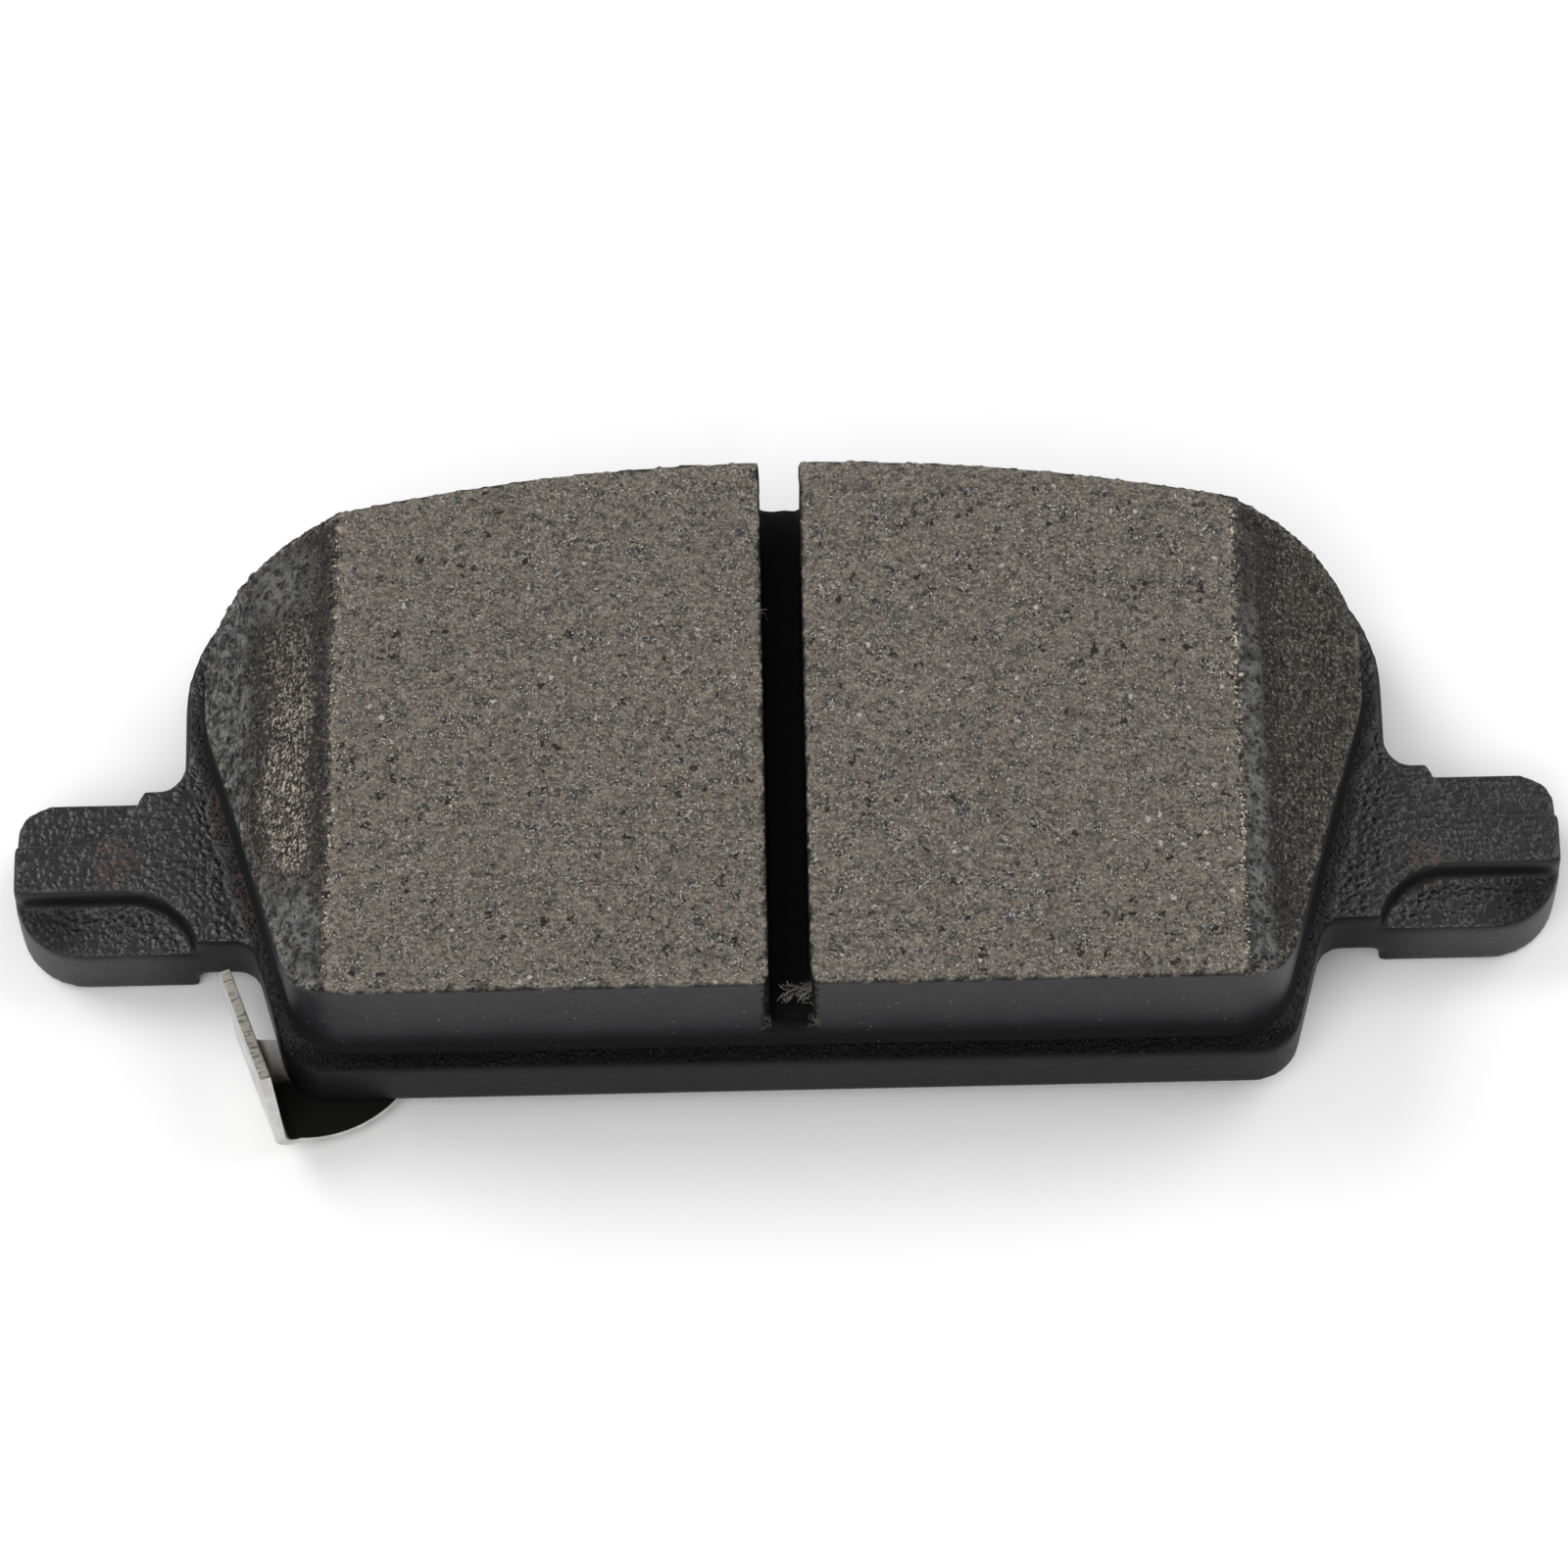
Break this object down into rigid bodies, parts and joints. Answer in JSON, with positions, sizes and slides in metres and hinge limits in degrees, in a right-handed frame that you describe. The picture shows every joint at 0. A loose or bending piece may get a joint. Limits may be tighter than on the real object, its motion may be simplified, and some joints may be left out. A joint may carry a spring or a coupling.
{
  "type": "disc brake pad",
  "caption": "Disc brake pad: steel backing plate with stepped ears, moulded friction block with a dust slot and chamfered ends, layered noise shim and riveted wear indicator.",
  "frame": {"origin": "middle of the shim's outer face, which the caliper's piston or finger pushes, halfway up the backing plate", "axes": "+X along the pad from ear to ear, away from the wear indicator; +Y away from the wheel's axis; +Z towards the disc, square to the friction face"},
  "size_m": [0.1102, 0.0469, 0.0177],
  "materials": {
    "plate_paint": "satin",
    "bond_film": "matte",
    "underlayer_compound": "matte",
    "friction_compound": "rough",
    "shim_rubber": "matte",
    "shim_steel": "satin",
    "shim_glue": "satin",
    "indicator_steel": "satin",
    "rivet_steel": "satin"
  },
  "bodies": {
    "root": {"backing_plate": "plate_paint", "bonding_adhesive": "bond_film", "lining_underlayer": "underlayer_compound", "friction_lining": "friction_compound", "shim_outer_rubber": "shim_rubber", "shim_steel_core": "shim_steel", "shim_inner_rubber": "shim_rubber", "shim_adhesive": "shim_glue", "wear_indicator": "indicator_steel", "wear_indicator_rivet": "rivet_steel"}
  },
  "joints": []
}
